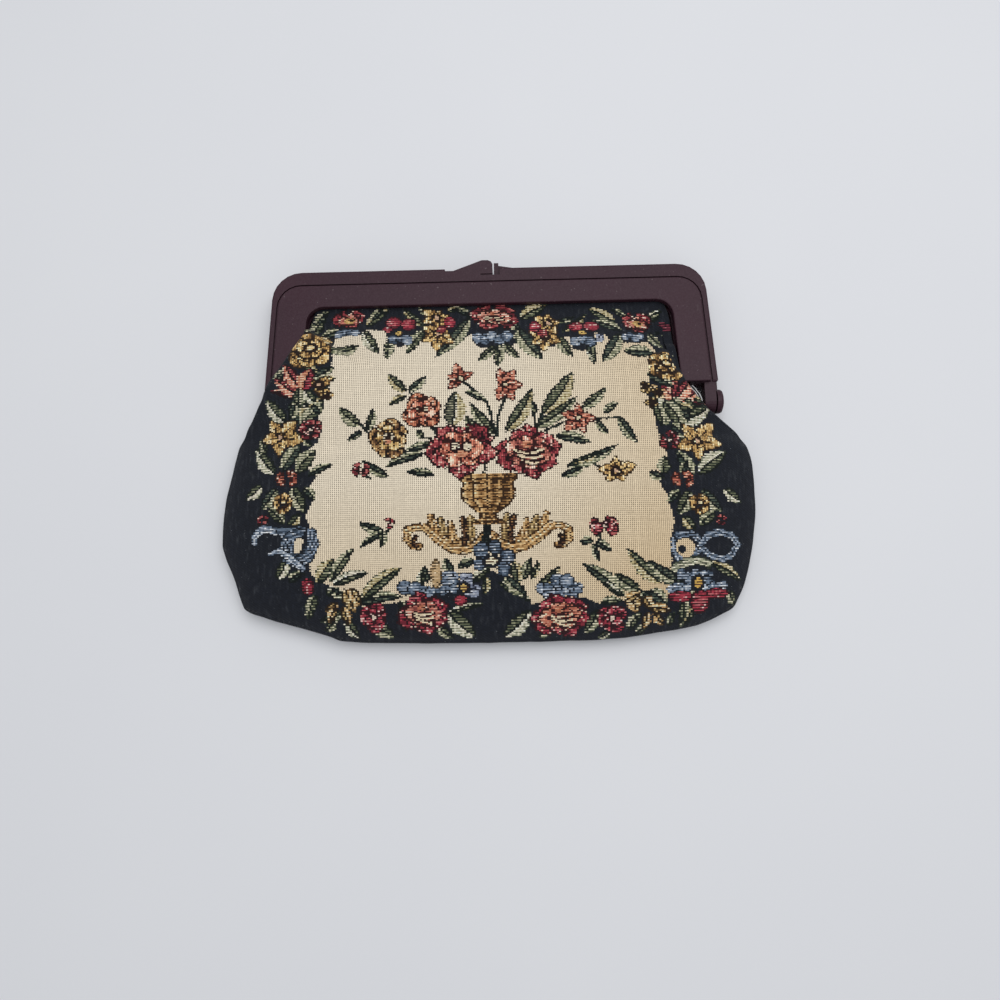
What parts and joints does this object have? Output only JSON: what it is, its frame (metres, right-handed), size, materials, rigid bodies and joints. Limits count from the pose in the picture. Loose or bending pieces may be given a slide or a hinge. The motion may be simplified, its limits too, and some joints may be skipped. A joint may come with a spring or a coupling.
{
  "type": "tapestry clutch",
  "caption": "Clutch purse with a hinged moulded U frame, a thumb tab clasp and a soft floral tapestry pouch, lying closed on its back.",
  "frame": {"origin": "middle of the bottom of the bounding box: the surface the clutch lies on", "axes": "+X to the right across the frame, +Y from the hem up to the clasp, +Z out of the front of the pouch"},
  "size_m": [0.1994, 0.1462, 0.021],
  "materials": {
    "frame_plastic": "satin dark maroon brown moulded plastic",
    "pin_steel": "plain drawn pin, hidden in the hinge",
    "lining_cloth": "grey lining edge",
    "tapestry_cloth": "fine woven floral tapestry, cream field and near black margin",
    "plain_cloth": "plain near black cloth"
  },
  "bodies": {
    "root": {"frame_front": "frame_plastic", "frame_back": "frame_plastic", "hinge_pin_left": "pin_steel", "hinge_pin_right": "pin_steel", "gusset_left": "lining_cloth", "gusset_right": "lining_cloth", "pouch_front": "tapestry_cloth", "pouch_back": "plain_cloth"}
  },
  "joints": []
}
